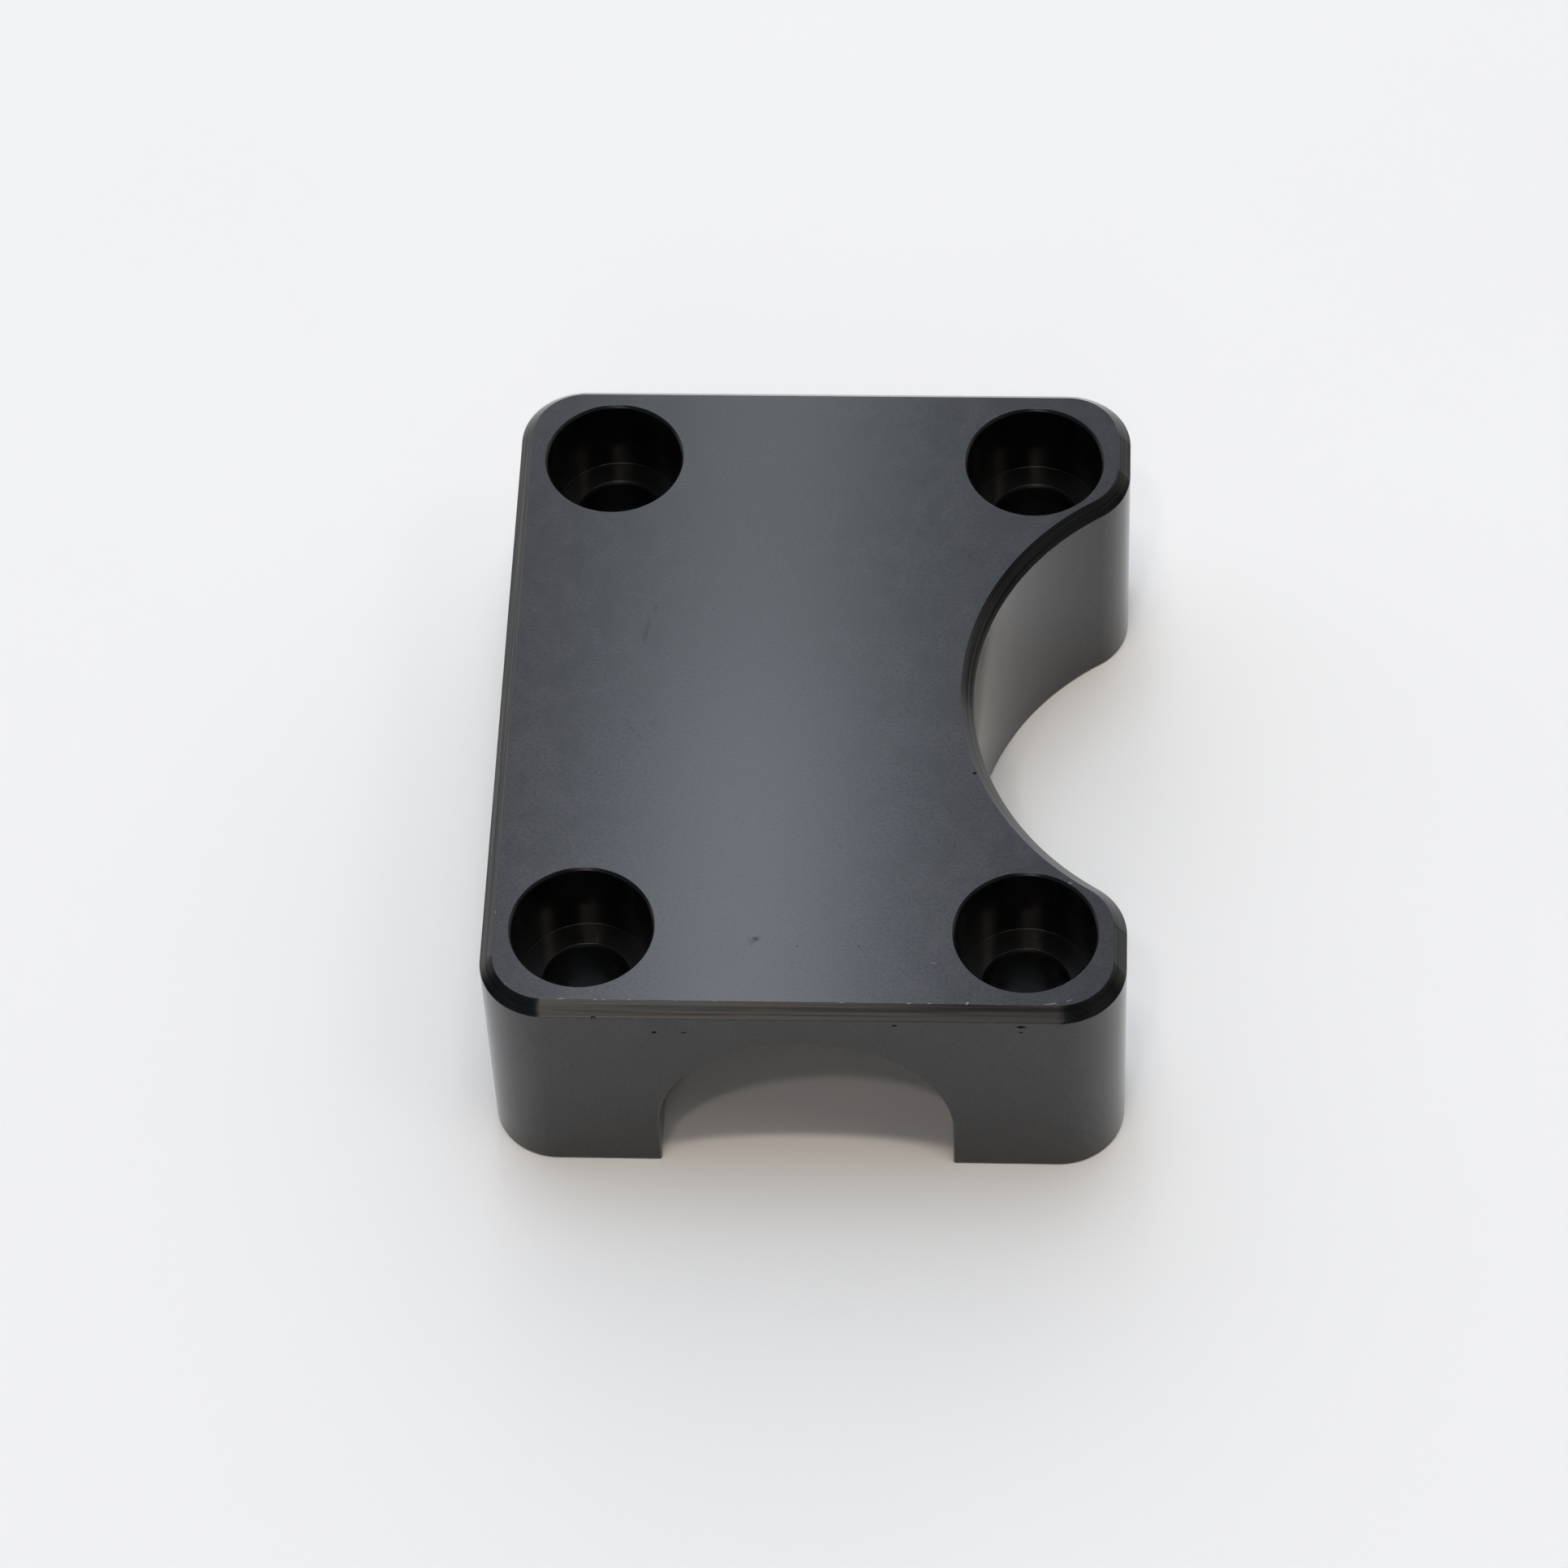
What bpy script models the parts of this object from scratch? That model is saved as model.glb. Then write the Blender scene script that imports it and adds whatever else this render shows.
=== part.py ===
"""Clamp block of a handlebar stem, in metres, with +Z up.

One block of aluminium, machined all over. It stands on its two legs, with the bar
channel between them open to the ground. The handlebar lies along Y. The round notch
is in the side that faces +X. The origin is the middle of the footprint, on the ground.
"""
from math import acos, cos, pi, sin

import bmesh
import bpy

MM = 0.001

# Block
WIDTH = 48 * MM             # X, across the bar
LENGTH = 60 * MM            # Y, along the bar
HEIGHT = 20 * MM            # Z
CORNER_RADIUS = 5 * MM      # upright corners
TOP_CHAMFER = 1 * MM        # 45 degrees, round the whole top outline

# Notch in the +X side, through the full height
NOTCH_RADIUS = 21.3 * MM
NOTCH_CENTRE_X = 33.5 * MM  # outside the block
NOTCH_LIP_RADIUS = 5 * MM   # where the notch runs out into the side

# Bar channel along Y: upright walls under a half-round roof
BAR_RADIUS = 11.1 * MM      # for a 22.2 mm bar
BAR_AXIS_Z = 4.7 * MM

# Four M6 screw holes with counterbores
SCREW_SPACING_X = 33 * MM
SCREW_SPACING_Y = 45 * MM
COUNTERBORE_RADIUS = 5.25 * MM
COUNTERBORE_DEPTH = 7 * MM
CLEARANCE_RADIUS = 3.2 * MM
EDGE_BREAK = 0.2 * MM       # 45 degrees, at each counterbore's mouth and at its hole's

# Facets
CORNER_STEPS = 8            # in a quarter turn
NOTCH_STEPS = 32
ROOF_STEPS = 32
HOLE_STEPS = 32

OVERRUN = 5 * MM            # cutters run past the faces that they open
WELD = 0.001 * MM


def arc(centre_x, centre_y, radius, start, end, steps):
    """Points along an arc, both ends included. Angles are in radians."""
    angles = (start + (end - start) * i / steps for i in range(steps + 1))
    return [(centre_x + radius * cos(a), centre_y + radius * sin(a)) for a in angles]


def block_outline():
    """The block seen from above, anticlockwise from the corner at -X, -Y."""
    corner_x = WIDTH / 2 - CORNER_RADIUS
    corner_y = LENGTH / 2 - CORNER_RADIUS
    lip_x = WIDTH / 2 - NOTCH_LIP_RADIUS
    reach = NOTCH_RADIUS + NOTCH_LIP_RADIUS
    turn = acos((NOTCH_CENTRE_X - lip_x) / reach)
    lip_y = reach * sin(turn)
    return (
        arc(-corner_x, -corner_y, CORNER_RADIUS, pi, 1.5 * pi, CORNER_STEPS)
        + arc(corner_x, -corner_y, CORNER_RADIUS, -pi / 2, 0, CORNER_STEPS)
        + arc(lip_x, -lip_y, NOTCH_LIP_RADIUS, 0, turn, CORNER_STEPS)
        + arc(NOTCH_CENTRE_X, 0, NOTCH_RADIUS, pi + turn, pi - turn, NOTCH_STEPS)[1:-1]
        + arc(lip_x, lip_y, NOTCH_LIP_RADIUS, -turn, 0, CORNER_STEPS)
        + arc(corner_x, corner_y, CORNER_RADIUS, 0, pi / 2, CORNER_STEPS)
        + arc(-corner_x, corner_y, CORNER_RADIUS, pi / 2, pi, CORNER_STEPS)
    )


def channel_outline():
    """The bar channel's section: X to the right, height upwards, open past the ground."""
    return arc(0, BAR_AXIS_Z, BAR_RADIUS, 0, pi, ROOF_STEPS) + [
        (-BAR_RADIUS, -OVERRUN),
        (BAR_RADIUS, -OVERRUN),
    ]


def extruded(name, outline, depth, collection):
    """A closed mesh from a flat outline, centred on its own plane."""
    curve = bpy.data.curves.new(name, "CURVE")
    curve.dimensions = "2D"
    curve.fill_mode = "BOTH"
    curve.extrude = depth / 2
    spline = curve.splines.new("POLY")
    spline.points.add(len(outline) - 1)
    for point, (x, y) in zip(spline.points, outline):
        point.co = (x, y, 0, 1)
    spline.use_cyclic_u = True
    guide = bpy.data.objects.new(name + "_outline", curve)
    collection.objects.link(guide)
    bpy.context.view_layer.update()
    evaluated = guide.evaluated_get(bpy.context.evaluated_depsgraph_get())
    mesh = bpy.data.meshes.new_from_object(evaluated)
    bpy.data.objects.remove(guide)
    edited = bmesh.new()
    edited.from_mesh(mesh)
    bmesh.ops.remove_doubles(edited, verts=edited.verts, dist=WELD)
    bmesh.ops.recalc_face_normals(edited, faces=edited.faces)
    edited.to_mesh(mesh)
    edited.free()
    solid = bpy.data.objects.new(name, mesh)
    collection.objects.link(solid)
    return solid


def chamfer_top(mesh, width):
    """Cuts a 45 degree chamfer round the outline of the mesh's top face."""
    edited = bmesh.new()
    edited.from_mesh(mesh)
    top = max(vertex.co.z for vertex in edited.verts)
    cap = [face for face in edited.faces if face.calc_center_median().z > top - WELD]
    face = bmesh.ops.dissolve_faces(edited, faces=cap)["region"][0]
    bmesh.ops.bevel(
        edited,
        geom=list(face.edges),
        offset=width,
        offset_type="OFFSET",
        segments=1,
        affect="EDGES",
    )
    edited.to_mesh(mesh)
    edited.free()


def hole_profile():
    """Half section of a screw hole's cutter, top to bottom: radius and height."""
    mouth = COUNTERBORE_RADIUS + EDGE_BREAK
    shoulder = HEIGHT - COUNTERBORE_DEPTH
    return [
        (0, HEIGHT + OVERRUN),
        (mouth, HEIGHT + OVERRUN),
        (mouth, HEIGHT),
        (COUNTERBORE_RADIUS, HEIGHT - EDGE_BREAK),
        (COUNTERBORE_RADIUS, shoulder),
        (CLEARANCE_RADIUS + EDGE_BREAK, shoulder),
        (CLEARANCE_RADIUS, shoulder - EDGE_BREAK),
        (CLEARANCE_RADIUS, -OVERRUN),
        (0, -OVERRUN),
    ]


def turned_cutter(name, profile, location, collection):
    """A cutter turned round Z from a profile in the XZ plane."""
    mesh = bpy.data.meshes.new(name)
    points = [(radius, 0, height) for radius, height in profile]
    mesh.from_pydata(points, [(i, i + 1) for i in range(len(points) - 1)], [])
    cutter = bpy.data.objects.new(name, mesh)
    cutter.location = location
    screw = cutter.modifiers.new("turn", "SCREW")
    screw.steps = screw.render_steps = HOLE_STEPS
    screw.use_merge_vertices = True
    screw.merge_threshold = WELD
    collection.objects.link(cutter)
    return cutter


def cut(solid, cutter):
    cutter.hide_render = True
    cutter.display_type = "WIRE"
    boolean = solid.modifiers.new(cutter.name, "BOOLEAN")
    boolean.operation = "DIFFERENCE"
    boolean.solver = "EXACT"
    boolean.object = cutter


def black_anodised():
    """Satin black anodising on aluminium."""
    material = bpy.data.materials.new("black_anodised_aluminium")
    material.use_nodes = True
    shader = material.node_tree.nodes["Principled BSDF"]
    shader.inputs["Base Color"].default_value = (0.05, 0.053, 0.058, 1)
    shader.inputs["Roughness"].default_value = 0.45
    shader.inputs["Metallic"].default_value = 0.6
    material.diffuse_color = (0.05, 0.053, 0.058, 1)
    return material


def new_collection(name):
    collection = bpy.data.collections.new(name)
    bpy.context.scene.collection.children.link(collection)
    return collection


def clear_scene():
    for thing in list(bpy.data.objects):
        bpy.data.objects.remove(thing, do_unlink=True)


def build():
    clear_scene()
    parts = new_collection("handlebar_stem")
    cutters = new_collection("cutters")

    block = extruded("stem_clamp_block", block_outline(), HEIGHT, parts)
    block.location.z = HEIGHT / 2
    chamfer_top(block.data, TOP_CHAMFER)

    channel = extruded("bar_channel", channel_outline(), LENGTH + 2 * OVERRUN, cutters)
    channel.rotation_euler.x = pi / 2
    cut(block, channel)

    for side_x, across in ((-1, "left"), (1, "right")):
        for side_y, along in ((-1, "near"), (1, "far")):
            place = (side_x * SCREW_SPACING_X / 2, side_y * SCREW_SPACING_Y / 2, 0)
            hole = turned_cutter(f"screw_hole_{across}_{along}", hole_profile(), place, cutters)
            cut(block, hole)

    block.data.materials.append(black_anodised())
    block.data.shade_smooth()
    block.data.set_sharp_from_angle(angle=pi / 6)


build()
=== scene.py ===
# Looks of the handlebar stem's clamp block: one machined, black-anodised block on a pale
# studio floor. The finished block is lofted and cut here with every edge broken, as on the
# real one, and it stands for the plain CAD block. Metres, +Z up, in the CAD part's frame.
from math import acos, cos, pi, radians, sin, tan
from random import Random

import bmesh
import bpy
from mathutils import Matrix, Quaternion, Vector, noise


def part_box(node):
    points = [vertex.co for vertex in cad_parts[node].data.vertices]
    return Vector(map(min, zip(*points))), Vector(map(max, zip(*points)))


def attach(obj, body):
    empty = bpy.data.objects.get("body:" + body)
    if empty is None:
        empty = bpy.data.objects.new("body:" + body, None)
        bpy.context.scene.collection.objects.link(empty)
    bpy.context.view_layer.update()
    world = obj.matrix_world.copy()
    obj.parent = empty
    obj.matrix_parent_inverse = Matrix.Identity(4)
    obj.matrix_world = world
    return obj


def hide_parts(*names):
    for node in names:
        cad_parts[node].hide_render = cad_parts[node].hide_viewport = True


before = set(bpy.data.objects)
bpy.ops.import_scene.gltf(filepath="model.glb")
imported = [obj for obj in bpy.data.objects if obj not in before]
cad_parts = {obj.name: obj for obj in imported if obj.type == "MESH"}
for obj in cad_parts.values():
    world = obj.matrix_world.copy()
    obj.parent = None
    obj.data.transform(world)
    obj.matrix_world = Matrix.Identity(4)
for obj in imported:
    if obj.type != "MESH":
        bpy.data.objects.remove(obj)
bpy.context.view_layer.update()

MM = 0.001
NODE = "stem_clamp_block"

# The block's outer size comes from the frame
low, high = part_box(NODE)
WIDTH = high.x - low.x
LENGTH = high.y - low.y
HEIGHT = high.z - low.z

# Driving dimensions of the CAD part
CORNER_RADIUS = 5 * MM
TOP_CHAMFER = 1 * MM
NOTCH_RADIUS = 21.3 * MM
NOTCH_CENTRE_X = 33.5 * MM
NOTCH_LIP_RADIUS = 5 * MM
BAR_RADIUS = 11.1 * MM
BAR_AXIS_Z = 4.7 * MM
SCREW_SPACING_X = 33 * MM
SCREW_SPACING_Y = 45 * MM
COUNTERBORE_RADIUS = 5.25 * MM
COUNTERBORE_DEPTH = 7 * MM
CLEARANCE_RADIUS = 3.2 * MM
EDGE_BREAK = 0.2 * MM

# Finer edges, which only the finished surface has
FOOT_BREAK = 0.15 * MM       # 45 degrees, round the feet
SOFT_EDGE = 0.08 * MM        # radius on each machined edge
KEEN_EDGE = 0.02 * MM        # radius round the top and down in the screw holes
CHANNEL_BREAK = 0.12 * MM    # 45 degrees, along the bar channel's mouth
LEAD_IN = tan(radians(6))    # slope at which a cutter runs out over a face it opens

# Facets of the finished surface
CORNER_STEPS = 20
NOTCH_STEPS = 96
HOLE_STEPS = 96
ROOF_STEPS = 72
SOFT_STEPS = 4

OUT = 1 * MM                 # how far a cutter stands out of the face it opens
WELD = 0.0005 * MM           # points closer than this are one
SLACK = 0.01                 # in a normal's upward part, for a face that counts as flat
SHARP_ANGLE = radians(30)
FACE_WEIGHT = 100            # large faces set the normals, and the broken edges bend to them

# Order of the materials on the block
SATIN, MILLED, BORED, WORN, BARE, PIT = range(6)

# Marks in the top, in mm: x, distance in from the near edge, length, width and depth. Then
# the turn in degrees and the material.
TOP_MARKS = (
    (-17.7, 0.02, 0.6, 0.11, 0.035, 4, BARE),
    (-15.1, 0.0, 0.36, 0.1, 0.03, -6, BARE),
    (-14.5, 0.01, 0.45, 0.13, 0.04, 3, BARE),
    (-12.6, 0.0, 0.4, 0.1, 0.03, 0, BARE),
    (-9.1, 0.0, 0.5, 0.06, 0.02, 0, BARE),
    (-6.3, 0.0, 0.4, 0.06, 0.02, 0, BARE),
    (-2.4, 0.0, 0.5, 0.05, 0.02, 0, BARE),
    (3.1, 0.0, 0.45, 0.06, 0.02, 0, BARE),
    (8.0, 0.01, 0.42, 0.1, 0.03, 2, BARE),
    (9.5, 0.0, 0.34, 0.09, 0.03, 0, BARE),
    (14.6, 0.0, 0.5, 0.05, 0.02, 0, BARE),
    (12.3, 0.08, 0.34, 0.24, 0.05, 30, BARE),
    (12.62, 0.42, 0.3, 0.06, 0.02, 50, BARE),
    (18.5, 0.13, 1.2, 0.07, 0.025, 9, BARE),
    (19.8, 0.46, 0.8, 0.07, 0.025, 20, BARE),
    (9.75, 3.62, 0.36, 0.07, 0.02, -8, BARE),
    (4.16, 5.05, 0.16, 0.13, 0.05, 0, PIT),
    (-0.4, 4.98, 0.14, 0.11, 0.05, 0, PIT),
    (-3.5, 5.6, 0.5, 0.2, 0.02, -30, PIT),
    (-21.86, 1.29, 0.3, 0.08, 0.03, 45, BARE),
    (-23.0, 9.36, 0.09, 0.3, 0.03, 0, PIT),
    (-22.98, 7.73, 0.08, 0.3, 0.02, 0, BARE),
    (12.42, 21.07, 0.3, 0.26, 0.14, 0, PIT),
)

# Pits in the near end, in mm: x, height, length, width
END_PITS = (
    (-15.24, 19.0, 0.4, 0.24),
    (-10.83, 17.23, 0.42, 0.24),
    (-8.67, 17.18, 0.4, 0.22),
    (6.95, 18.5, 0.4, 0.22),
    (16.3, 18.52, 0.7, 0.36),
    (16.25, 17.82, 0.3, 0.18),
    (19.4, 19.0, 0.34, 0.16),
    (19.95, 18.98, 0.44, 0.2),
)
PIT_DEPTH = 0.2

LUMPS = 0.35                 # how ragged a mark is
LUMPS_PER_MM = 2.2
LUMP_RANGE = 100             # each mark starts somewhere in noise this wide
MARK_SEED = 8                # one at which the cuts leave a closed mesh

# Dull rubs on the top, in mm: start, end, width, share of the gloss lost
RUBS = (
    ((2.03, -14.28), (3.62, -16.2), 0.22, 0.22),
    ((3.62, -16.2), (4.21, -15.74), 0.2, 0.2),
    ((-13.19, 4.2), (-12.94, 6.57), 0.5, 0.22),
    ((-12.6, 7.4), (-12.32, 7.93), 0.4, 0.25),
    ((-14.3, -3.07), (-13.62, -4.22), 0.3, 0.22),
    ((-13.62, -4.22), (-12.89, -5.14), 0.3, 0.22),
    ((-12.24, -3.43), (-12.1, -3.6), 0.5, 0.2),
    ((-12.3, -5.75), (-12.1, -5.9), 0.5, 0.2),
    ((-13.74, -0.74), (-13.5, -0.8), 0.5, 0.18),
    ((-9.53, 0.8), (-9.3, 0.9), 0.5, 0.15),
    ((-3.44, -23.41), (-3.97, -23.71), 0.7, 0.4),
    ((-9.0, -19.2), (-6.2, -18.4), 0.16, 0.12),
    ((-6.2, -24.6), (-3.3, -25.6), 0.14, 0.12),
    ((7.0, -18.7), (9.2, -20.4), 0.14, 0.12),
    ((-19.5, -8.5), (-17.8, -9.9), 0.2, 0.12),
    ((5.5, -8.2), (7.4, -8.9), 0.18, 0.1),
)

RINGS_PER_MM = 6             # left by the tool in a screw hole
NOISE_SPAN = (0.3, 0.7)      # where nearly all of a noise node's values lie
SKIN_IOR = 1.5               # refractive index of the anodised skin


# ---------------------------------------------------------------- shapes

def arc(centre_x, centre_y, radius, start, end, steps):
    """Points along an arc, both ends included. Angles are in radians."""
    angles = (start + (end - start) * i / steps for i in range(steps + 1))
    return [Vector((centre_x + radius * cos(a), centre_y + radius * sin(a))) for a in angles]


def block_outline(inset):
    """The block seen from above, anticlockwise, with its whole outline moved inwards."""
    corner_x = WIDTH / 2 - CORNER_RADIUS
    corner_y = LENGTH / 2 - CORNER_RADIUS
    lip_x = WIDTH / 2 - NOTCH_LIP_RADIUS
    reach = NOTCH_RADIUS + NOTCH_LIP_RADIUS
    turn = acos((NOTCH_CENTRE_X - lip_x) / reach)
    lip_y = reach * sin(turn)
    corner = CORNER_RADIUS - inset
    lip = NOTCH_LIP_RADIUS - inset
    notch = arc(NOTCH_CENTRE_X, 0, NOTCH_RADIUS + inset, pi + turn, pi - turn, NOTCH_STEPS)
    return (
        arc(-corner_x, -corner_y, corner, pi, 1.5 * pi, CORNER_STEPS)
        + arc(corner_x, -corner_y, corner, -pi / 2, 0, CORNER_STEPS)
        + arc(lip_x, -lip_y, lip, 0, turn, CORNER_STEPS)
        + notch[1:-1]
        + arc(lip_x, lip_y, lip, -turn, 0, CORNER_STEPS)
        + arc(corner_x, corner_y, corner, 0, pi / 2, CORNER_STEPS)
        + arc(-corner_x, corner_y, corner, pi / 2, pi, CORNER_STEPS)
    )


def rounded(points, radii):
    """A flat polyline with its inner corners rounded, by one radius each."""
    points = [Vector(point) for point in points]
    result = [points[0]]
    for before, corner, after, r in zip(points, points[1:], points[2:], radii):
        back = (before - corner).normalized()
        ahead = (after - corner).normalized()
        half = back.angle(ahead) / 2
        centre = corner + (back + ahead).normalized() * r / sin(half)
        first = (corner + back * r / tan(half) - centre).normalized()
        last = (corner + ahead * r / tan(half) - centre).normalized()
        result += [centre + r * first.slerp(last, i / SOFT_STEPS) for i in range(SOFT_STEPS + 1)]
    return result + [points[-1]]


def scene_object(name, mesh, material=SATIN):
    """An object in the scene from a bmesh, with one material on all its faces."""
    for face in mesh.faces:
        face.material_index = material
    data = bpy.data.meshes.new(name)
    mesh.to_mesh(data)
    mesh.free()
    made = bpy.data.objects.new(name, data)
    bpy.context.scene.collection.objects.link(made)
    return made


def loft(name, rings, material=SATIN):
    """A closed mesh through rings of equally many points, with both end rings filled."""
    mesh = bmesh.new()
    rows = [[mesh.verts.new(point) for point in ring] for ring in rings]
    mesh.faces.new(rows[0])
    mesh.faces.new(rows[-1])
    for row, above in zip(rows, rows[1:]):
        for i in range(len(row)):
            mesh.faces.new((row[i - 1], row[i], above[i], above[i - 1]))
    bmesh.ops.recalc_face_normals(mesh, faces=mesh.faces)
    return scene_object(name, mesh, material)


def block():
    """The block without its channel and holes."""
    profile = rounded(
        [
            (FOOT_BREAK + OUT, 0),
            (FOOT_BREAK, 0),
            (0, FOOT_BREAK),
            (0, HEIGHT - TOP_CHAMFER),
            (TOP_CHAMFER, HEIGHT),
            (TOP_CHAMFER + OUT, HEIGHT),
        ],
        [SOFT_EDGE, SOFT_EDGE, SOFT_EDGE, KEEN_EDGE],
    )[1:-1]
    rings = [[(p.x, p.y, z) for p in block_outline(inset)] for inset, z in profile]
    solid = loft("machined_clamp_block", rings)
    lower = HEIGHT - TOP_CHAMFER - SOFT_EDGE
    for face in solid.data.polygons:
        rise = abs(face.normal.z)
        if SLACK < rise < 1 - SLACK:
            on_chamfer = face.center.z > lower and abs(rise - sin(pi / 4)) < 2 * SLACK
            face.material_index = MILLED if on_chamfer else WORN
    return solid


def circle(radius, z):
    """A ring of points round Z."""
    turns = (2 * pi * i / HOLE_STEPS for i in range(HOLE_STEPS))
    return [(radius * cos(a), radius * sin(a), z) for a in turns]


def hole_cutter(side_x, side_y):
    """Cutter for one of the screw holes with its counterbore. The sides are -1 or 1."""
    shoulder = HEIGHT - COUNTERBORE_DEPTH
    mouth = COUNTERBORE_RADIUS + EDGE_BREAK
    foot = CLEARANCE_RADIUS + FOOT_BREAK
    profile = rounded(
        [
            (mouth + OUT, HEIGHT + OUT * LEAD_IN),
            (mouth, HEIGHT),
            (COUNTERBORE_RADIUS, HEIGHT - EDGE_BREAK),
            (COUNTERBORE_RADIUS, shoulder),
            (CLEARANCE_RADIUS + EDGE_BREAK, shoulder),
            (CLEARANCE_RADIUS, shoulder - EDGE_BREAK),
            (CLEARANCE_RADIUS, FOOT_BREAK),
            (foot + OUT, -OUT),
        ],
        [SOFT_EDGE, SOFT_EDGE, KEEN_EDGE, KEEN_EDGE, KEEN_EDGE, SOFT_EDGE],
    )
    profile = [Vector((mouth + OUT, HEIGHT + OUT))] + profile
    rings = [circle(radius, z) for radius, z in profile]
    cutter = loft("screw_hole", rings, BORED)
    cutter.location = (side_x * SCREW_SPACING_X / 2, side_y * SCREW_SPACING_Y / 2, 0)
    return cutter


def channel_cutter():
    """Cutter for the bar channel. It widens where it runs out through the ends and the feet."""
    half = LENGTH / 2
    profile = rounded(
        [
            (CHANNEL_BREAK + OUT, -half - OUT),
            (0, -half + CHANNEL_BREAK),
            (0, half - CHANNEL_BREAK),
            (CHANNEL_BREAK + OUT, half + OUT),
        ],
        [SOFT_EDGE, SOFT_EDGE],
    )
    rings = []
    for wider, y in profile:
        radius = BAR_RADIUS + wider
        roof = arc(0, BAR_AXIS_Z, radius, 0, pi, ROOF_STEPS)
        foot = [Vector((-radius, CHANNEL_BREAK)), Vector((-radius - CHANNEL_BREAK - OUT, -OUT))]
        section = roof + foot + [Vector((-p.x, p.y)) for p in reversed(foot)]
        rings.append([(p.x, y, p.y) for p in section])
    return loft("bar_channel", rings)


def cut(solid, cutter):
    """Takes the cutter away from the solid. The cut faces keep the cutter's material."""
    boolean = solid.modifiers.new(cutter.name, "BOOLEAN")
    boolean.operation = "DIFFERENCE"
    boolean.solver = "EXACT"
    boolean.material_mode = "INDEX"
    boolean.object = cutter


def chip(rng, place, size, turn, material):
    """Cutter for a small ragged mark, a lumpy ellipsoid. In mm, with the turn in degrees."""
    ball = bmesh.new()
    bmesh.ops.create_icosphere(ball, subdivisions=2, radius=MM / 2)
    start = Vector((rng.random(), rng.random(), rng.random())) * LUMP_RANGE
    for vertex in ball.verts:
        vertex.co *= 1 + LUMPS * noise.noise(vertex.co * LUMPS_PER_MM / MM + start)
        vertex.co *= Vector(size)
    cutter = scene_object("chip", ball, material)
    cutter.location = Vector(place) * MM
    cutter.rotation_euler.z = radians(turn)
    return cutter


def nicks():
    """Small knocks: bare ones along the top's edges, black ones in the top and the near end."""
    rng = Random(MARK_SEED)
    edge_y = (-LENGTH / 2 + TOP_CHAMFER) / MM
    top = HEIGHT / MM
    near = -LENGTH / 2 / MM
    cutters = []
    for x, y, long, wide, deep, turn, material in TOP_MARKS:
        cutters.append(chip(rng, (x, edge_y + y, top), (long, wide, 2 * deep), turn, material))
    for x, z, long, high in END_PITS:
        cutters.append(chip(rng, (x, near, z), (long, PIT_DEPTH * 2, high), 0, PIT))
    return cutters


def finished(solid, cutters):
    """Applies the cuts and shades the result: flats stay flat and only real corners are sharp."""
    for cutter in cutters:
        cut(solid, cutter)
    bpy.context.view_layer.update()
    evaluated = solid.evaluated_get(bpy.context.evaluated_depsgraph_get())
    mesh = bpy.data.meshes.new_from_object(evaluated)
    welded = bmesh.new()
    welded.from_mesh(mesh)
    bmesh.ops.remove_doubles(welded, verts=welded.verts, dist=WELD)
    bmesh.ops.dissolve_degenerate(welded, edges=welded.edges, dist=WELD)
    welded.to_mesh(mesh)
    welded.free()
    solid.modifiers.clear()
    solid.data = mesh
    for cutter in cutters:
        bpy.data.objects.remove(cutter)
    mesh.shade_smooth()
    mesh.set_sharp_from_angle(angle=SHARP_ANGLE)
    weighted = solid.modifiers.new("flat faces", "WEIGHTED_NORMAL")
    weighted.keep_sharp = True
    weighted.weight = FACE_WEIGHT
    return solid


# ---------------------------------------------------------------- materials

class Nodes:
    """A node tree with short calls for its nodes."""

    def __init__(self, tree):
        self.tree = tree

    def node(self, kind, inputs=None, **settings):
        made = self.tree.nodes.new(kind)
        for key, value in settings.items():
            setattr(made, key, value)
        for key, value in (inputs or {}).items():
            if isinstance(value, bpy.types.NodeSocket):
                self.tree.links.new(value, made.inputs[key])
            else:
                made.inputs[key].default_value = value
        return made

    def math(self, operation, a, b=0.0):
        return self.node("ShaderNodeMath", {0: a, 1: b}, operation=operation).outputs[0]

    def vector_node(self, operation, inputs):
        return self.node("ShaderNodeVectorMath", inputs, operation=operation)

    def vector(self, operation, a, b):
        return self.vector_node(operation, {0: a, 1: b}).outputs[0]

    def dot(self, a, b):
        return self.vector_node("DOT_PRODUCT", {0: a, 1: b}).outputs["Value"]

    def times(self, vector, scale):
        return self.vector_node("SCALE", {0: vector, "Scale": scale}).outputs[0]


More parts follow.
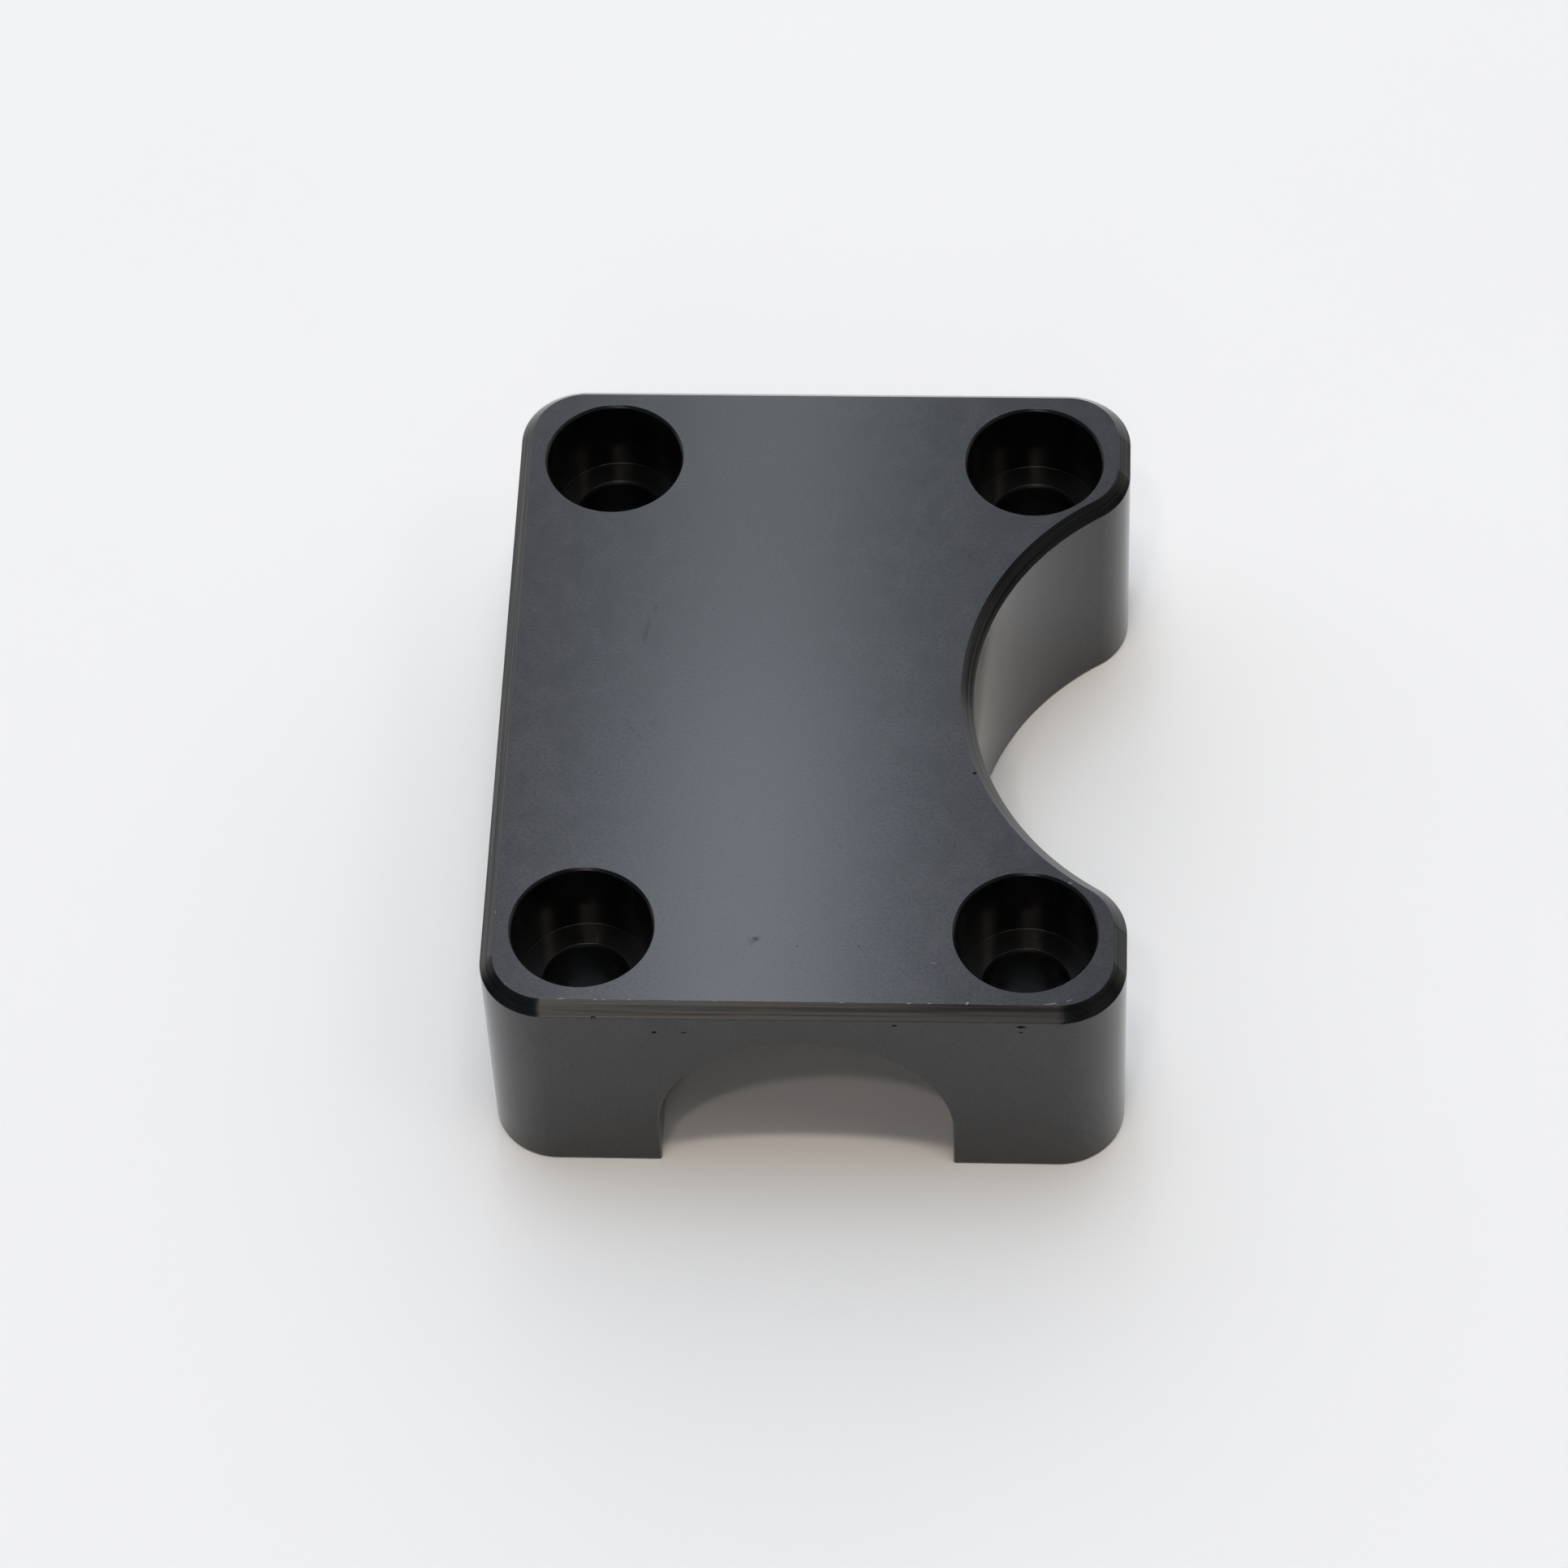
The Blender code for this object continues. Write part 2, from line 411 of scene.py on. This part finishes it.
class Shader(Nodes):
    """A material's nodes. Places in it are the part's own."""

    def __init__(self, name):
        self.material = bpy.data.materials.new(name)
        self.material.use_nodes = True
        super().__init__(self.material.node_tree)
        self.surface = self.tree.nodes["Principled BSDF"]
        self.place = self.node("ShaderNodeTexCoord").outputs["Object"]

    def scaled(self, x, y, z):
        """The place on the block with each direction scaled, in cycles per millimetre."""
        return self.vector("MULTIPLY", self.place, (x / MM, y / MM, z / MM))

    def noise(self, vector, detail=2.0, rough=0.5, distort=0.0):
        inputs = {
            "Vector": vector,
            "Scale": 1.0,
            "Detail": detail,
            "Roughness": rough,
            "Distortion": distort,
        }
        return self.node("ShaderNodeTexNoise", inputs).outputs["Fac"]

    def between(self, value, low_in, high_in, low_out, high_out):
        """Maps one range onto another and holds the result inside it."""
        inputs = {
            "Value": value,
            "From Min": low_in,
            "From Max": high_in,
            "To Min": low_out,
            "To Max": high_out,
        }
        return self.node("ShaderNodeMapRange", inputs).outputs["Result"]

    def mix(self, factor, a, b):
        """Blends two colours, whose sockets come after those for other kinds of value."""
        inputs = {"Factor": factor, 6: (*a, 1), 7: (*b, 1)}
        return self.node("ShaderNodeMix", inputs, data_type="RGBA").outputs[2]

    def stroke(self, place, start, end, width):
        """1 on a line across the top, fading to 0 at half the width from it. All in mm."""
        along = Vector((*end, 0)) - Vector((*start, 0))
        offset = self.vector("SUBTRACT", place, (*start, 0))
        share = self.between(self.dot(offset, along / along.length_squared), 0, 1, 0, 1)
        nearest = self.times(along, share)
        gap = self.vector_node("DISTANCE", {0: offset, 1: nearest}).outputs["Value"]
        return self.between(gap, 0, width / 2, 1, 0)

    def connect(self, name, output):
        self.tree.links.new(output, self.surface.inputs[name])

    def bump(self, height, distance):
        made = self.node("ShaderNodeBump", {"Height": height, "Distance": distance})
        self.connect("Normal", made.outputs["Normal"])


def satin_anodising():
    """Bead-blasted and anodised: near black, with a fine mottled grain, smudges and rubs."""
    s = Shader("satin_black_anodising")
    grain = s.noise(s.scaled(3.4, 5, 5), detail=1, rough=0.5)
    smudge = s.noise(s.scaled(0.4, 0.35, 0.4), detail=4, rough=0.6, distort=0.8)
    tone = s.between(smudge, *NOISE_SPAN, 0, 1)
    s.connect("Base Color", s.mix(tone, (0.0122, 0.0125, 0.0132), (0.0158, 0.0156, 0.0162)))
    fine_rough = s.between(grain, *NOISE_SPAN, -0.01, 0.01)
    s.connect("Roughness", s.math("ADD", fine_rough, s.between(smudge, *NOISE_SPAN, 0.15, 0.17)))

    wobble = s.between(s.noise(s.scaled(1.1, 1.1, 1.1), detail=3), *NOISE_SPAN, -0.2, 0.2)
    on_top = s.vector("ADD", s.scaled(1, 1, 0), wobble)
    rub = None
    for start, end, width, depth in RUBS:
        mark = s.math("MULTIPLY", s.stroke(on_top, start, end, width), depth)
        rub = mark if rub is None else s.math("MAXIMUM", rub, mark)
    fine_gloss = s.between(grain, *NOISE_SPAN, 0.45, 0.55)
    gloss = s.math("ADD", fine_gloss, s.between(smudge, *NOISE_SPAN, -0.02, 0.02))
    s.connect("Specular IOR Level", s.math("MULTIPLY", gloss, s.math("SUBTRACT", 1.0, rub)))
    s.bump(grain, 0.0002 * MM)
    s.surface.inputs["IOR"].default_value = SKIN_IOR
    return s.material


def milled_chamfer():
    """Milled after blasting: bright black, with cutter marks along the edge."""
    s = Shader("milled_black_anodising")
    streak = s.noise(s.scaled(0.05, 0.05, 7.5), detail=2, rough=0.6)
    s.connect("Base Color", s.mix(streak, (0.002, 0.002, 0.002), (0.005, 0.0047, 0.0045)))
    s.connect("Roughness", s.between(streak, *NOISE_SPAN, 0.1, 0.18))
    s.connect("Specular IOR Level", s.between(streak, 0.38, 0.62, 0.28, 0.72))
    s.bump(streak, 0.002 * MM)
    s.surface.inputs["IOR"].default_value = SKIN_IOR
    return s.material


def bored_hole():
    """Turned surfaces of the screw holes, dull, with fine rings left by the tool."""
    s = Shader("bored_black_anodising")
    split = s.node("ShaderNodeSeparateXYZ", {0: s.place})
    across = s.math("SUBTRACT", s.math("ABSOLUTE", split.outputs["X"]), SCREW_SPACING_X / 2)
    along = s.math("SUBTRACT", s.math("ABSOLUTE", split.outputs["Y"]), SCREW_SPACING_Y / 2)
    squares = s.math("ADD", s.math("MULTIPLY", across, across), s.math("MULTIPLY", along, along))
    radius = s.math("SQRT", squares)
    rings = s.node("ShaderNodeCombineXYZ", {0: radius, 1: split.outputs["Z"], 2: 0.0}).outputs[0]
    marks = s.vector("MULTIPLY", rings, (RINGS_PER_MM / MM, RINGS_PER_MM / MM, 0))
    turned = s.noise(marks, detail=2)
    dull = s.noise(s.scaled(0.5, 0.5, 0.5), detail=3)
    s.connect("Base Color", s.mix(dull, (0.002, 0.0021, 0.0022), (0.0034, 0.0033, 0.0032)))
    s.connect("Roughness", s.between(dull, *NOISE_SPAN, 0.18, 0.24))
    s.connect("Specular IOR Level", s.between(turned, *NOISE_SPAN, 0.42, 0.58))
    s.bump(turned, 0.0006 * MM)
    s.surface.inputs["IOR"].default_value = SKIN_IOR
    return s.material


def worn_edge():
    """The broken edges, where handling has rubbed the black thin in places."""
    s = Shader("worn_black_edge")
    rub = s.noise(s.scaled(0.9, 0.9, 0.9), detail=5, rough=0.7)
    bare = s.between(rub, 0.55, 0.75, 0, 1)
    s.connect("Base Color", s.mix(bare, (0.012, 0.012, 0.013), (0.10, 0.098, 0.095)))
    s.connect("Roughness", s.between(rub, *NOISE_SPAN, 0.22, 0.32))
    s.surface.inputs["IOR"].default_value = SKIN_IOR
    return s.material


def bare_nick():
    """Bright aluminium where a knock has gone through the anodising."""
    s = Shader("bare_aluminium_nick")
    torn = s.noise(s.scaled(9, 9, 9), detail=3)
    s.connect("Base Color", s.mix(torn, (0.1, 0.098, 0.096), (0.26, 0.26, 0.263)))
    s.connect("Roughness", s.between(torn, *NOISE_SPAN, 0.4, 0.6))
    s.bump(torn, 0.01 * MM)
    s.surface.inputs["Metallic"].default_value = 1.0
    return s.material


def dark_pit():
    """Pits that were there before anodising, black inside."""
    s = Shader("anodised_pit")
    torn = s.noise(s.scaled(6, 6, 6), detail=3)
    s.connect("Base Color", s.mix(torn, (0.002, 0.002, 0.002), (0.008, 0.008, 0.008)))
    s.connect("Roughness", s.between(torn, *NOISE_SPAN, 0.25, 0.45))
    s.bump(torn, 0.008 * MM)
    return s.material


# ---------------------------------------------------------------- studio

CAMERA_AIM = Vector((-2.56, -1.76, 10)) * MM
CAMERA_DISTANCE = 480.8 * MM
CAMERA_ELEVATION = radians(53.54)
CAMERA_AZIMUTH = radians(4.82)
CAMERA_ROLL = radians(-3.24)
CAMERA_LENS = 142.53         # in mm, as is the sensor
CAMERA_SENSOR = 36
CAMERA_CLIP = (0.01, 20)     # in metres, as is the floor
FLOOR_RADIUS = 6
FLOOR_STEPS = 96


def add_camera():
    """A camera that looks down at the block from the near side."""
    data = bpy.data.cameras.new("camera")
    data.sensor_width = CAMERA_SENSOR
    data.lens = CAMERA_LENS
    data.clip_start, data.clip_end = CAMERA_CLIP
    camera = bpy.data.objects.new("camera", data)
    bpy.context.scene.collection.objects.link(camera)
    back = Vector(
        (
            sin(CAMERA_AZIMUTH) * cos(CAMERA_ELEVATION),
            -cos(CAMERA_AZIMUTH) * cos(CAMERA_ELEVATION),
            sin(CAMERA_ELEVATION),
        )
    )
    camera.location = CAMERA_AIM + back * CAMERA_DISTANCE
    camera.rotation_mode = "QUATERNION"
    roll = Quaternion((0, 0, 1), CAMERA_ROLL)
    camera.rotation_quaternion = (-back).to_track_quat("-Z", "Y") @ roll
    bpy.context.scene.camera = camera


def add_floor():
    """A large pale sheet, faintly uneven in tone."""
    sheet = bmesh.new()
    bmesh.ops.create_circle(sheet, cap_ends=True, segments=FLOOR_STEPS, radius=FLOOR_RADIUS)
    floor = scene_object("floor", sheet)
    s = Shader("pale_floor")
    cloud = s.noise(s.scaled(0.02, 0.02, 0.02), detail=3)
    s.connect("Base Color", s.mix(cloud, (0.79, 0.79, 0.79), (0.82, 0.82, 0.82)))
    s.surface.inputs["Roughness"].default_value = 0.9
    s.surface.inputs["Specular IOR Level"].default_value = 0.0
    floor.data.materials.append(s.material)


# Soft lobes of the studio: azimuth from +Y towards +X, elevation, the half-widths at which
# the lobe is still full and at which it is gone, all in degrees, and its radiance
LOBES = {
    "overhead": (0, 84, 4, 22, (2.85, 3.6, 4.2)),
    "back_high": (0, 48, 10, 40, (0.57, 0.63, 0.8)),
    "back_left_high": (-60, 48, 10, 40, (0.58, 0.59, 0.63)),
    "back_right_high": (60, 48, 10, 40, (0.38, 0.36, 0.34)),
    "front_right_high": (106, 44, 10, 38, (0.15, 0.14, 0.135)),
    "front_high": (180, 48, 10, 40, (0.06, 0.085, 0.09)),
    "back_low": (0, 12, 8, 42, (1.45, 1.33, 1.1)),
    "back_left_low": (-45, 12, 8, 42, (0.52, 0.51, 0.51)),
    "back_right_low": (45, 12, 8, 42, (0.37, 0.36, 0.34)),
    "right_low": (90, 12, 8, 42, (0.025, 0.03, 0.035)),
    "front_left_low": (225, 12, 8, 42, (0.075, 0.085, 0.115)),
    "left_low": (270, 12, 8, 42, (0.04, 0.05, 0.075)),
    "front_card": (188.2, 33.7, 4.4, 5.8, (1.42, 1.29, 1.18)),
    "front_glow": (183.1, 33.7, 3, 14, (0.5, 0.45, 0.41)),
    "right_skirting": (135, 3, 5, 24, (0.36, 0.36, 0.37)),
    "front_skirting": (180, 3, 5, 24, (0.36, 0.36, 0.37)),
    "left_skirting": (225, 3, 5, 24, (0.36, 0.36, 0.37)),
    "right_spot": (114, 56, 2, 7, (5.0, 4.4, 3.8)),
}
AMBIENT = (0.01, 0.01, 0.01)
BACKDROP = (0.82, 0.82, 0.825)

# Softboxes that face straight down: name, place and size in mm, radiance
STRIPS = (
    ("strip_near", (-39, 250, 520), (35, 260), (4.5, 4.9, 5.3)),
    ("strip_far", (-39, 510, 520), (35, 260), (2.4, 2.8, 3.0)),
)

# Far lamps near the ceiling's middle: name, lean towards +X, lean towards -Y and width, all
# in degrees, and irradiance. The first ones stand in a row.
CEILING_ROW = (-9, -4.5, 0, 4.5, 9)
FAR_LAMPS = (
    *(("ceiling_lamp", lean_x, 8.7, 3, (0.154, 0.128, 0.102)) for lean_x in CEILING_ROW),
    ("front_ceiling_lamp", -8, 26, 3, (0.225, 0.196, 0.181)),
    ("low_front_lamp", 0, 39, 9, (0.135, 0.118, 0.11)),
)


def direction(azimuth, elevation):
    """Unit vector for an azimuth from +Y towards +X and an elevation, in degrees."""
    across, up = radians(azimuth), radians(elevation)
    return Vector((sin(across) * cos(up), cos(across) * cos(up), sin(up)))


def add_world():
    """A soft studio: a dim room with broad pale lobes. The camera itself sees a plain backdrop."""
    world = bpy.data.worlds.new("studio")
    bpy.context.scene.world = world
    world.use_nodes = True
    s = Nodes(world.node_tree)
    toward = s.node("ShaderNodeTexCoord").outputs["Generated"]
    total = AMBIENT
    for azimuth, elevation, full, none, radiance in LOBES.values():
        inputs = {
            "Value": s.dot(toward, direction(azimuth, elevation)),
            "From Min": cos(radians(none)),
            "From Max": cos(radians(full)),
        }
        fade = s.node("ShaderNodeMapRange", inputs, interpolation_type="SMOOTHSTEP")
        total = s.vector("ADD", total, s.times(radiance, fade.outputs["Result"]))
    room = s.tree.nodes["Background"]
    s.tree.links.new(total, room.inputs["Color"])
    backdrop = s.node("ShaderNodeBackground", {"Color": (*BACKDROP, 1)})
    seen = s.node("ShaderNodeLightPath").outputs["Is Camera Ray"]
    shown = s.node("ShaderNodeMixShader", {0: seen, 1: room.outputs[0], 2: backdrop.outputs[0]})
    s.tree.links.new(shown.outputs[0], s.tree.nodes["World Output"].inputs["Surface"])


def add_lamp(name, kind, strength):
    """A lamp with its colour and energy from a strength in red, green and blue."""
    lamp = bpy.data.objects.new(name, bpy.data.lights.new(name, kind))
    bpy.context.scene.collection.objects.link(lamp)
    brightest = max(strength)
    lamp.data.color = [value / brightest for value in strength]
    lamp.data.energy = brightest
    return lamp


def add_strip(name, place, size, radiance):
    """A rectangular softbox, which the camera doesn't see."""
    lamp = add_lamp(name, "AREA", radiance)
    lamp.location = Vector(place) * MM
    lamp.visible_camera = False
    lamp.data.shape = "RECTANGLE"
    lamp.data.size = size[0] * MM
    lamp.data.size_y = size[1] * MM
    lamp.data.energy *= pi * lamp.data.size * lamp.data.size_y


def add_far_lamp(name, lean_x, lean_y, width, irradiance):
    """A lamp so far off that its light comes from one direction, softened by its width."""
    lamp = add_lamp(name, "SUN", irradiance)
    lamp.data.angle = radians(width)
    lamp.rotation_mode = "QUATERNION"
    down = Vector((-tan(radians(lean_x)), tan(radians(lean_y)), -1))
    lamp.rotation_quaternion = down.to_track_quat("-Z", "Y")


# ---------------------------------------------------------------- the scene

add_camera()
add_floor()
add_world()
for strip in STRIPS:
    add_strip(*strip)
for lamp in FAR_LAMPS:
    add_far_lamp(*lamp)
bpy.context.scene.view_settings.view_transform = "Standard"

solid = block()
holes = [hole_cutter(side_x, side_y) for side_x in (-1, 1) for side_y in (-1, 1)]
piece = finished(solid, [channel_cutter(), *holes, *nicks()])
for make in (satin_anodising, milled_chamfer, bored_hole, worn_edge, bare_nick, dark_pit):
    piece.data.materials.append(make())

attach(piece, "root")
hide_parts(NODE)
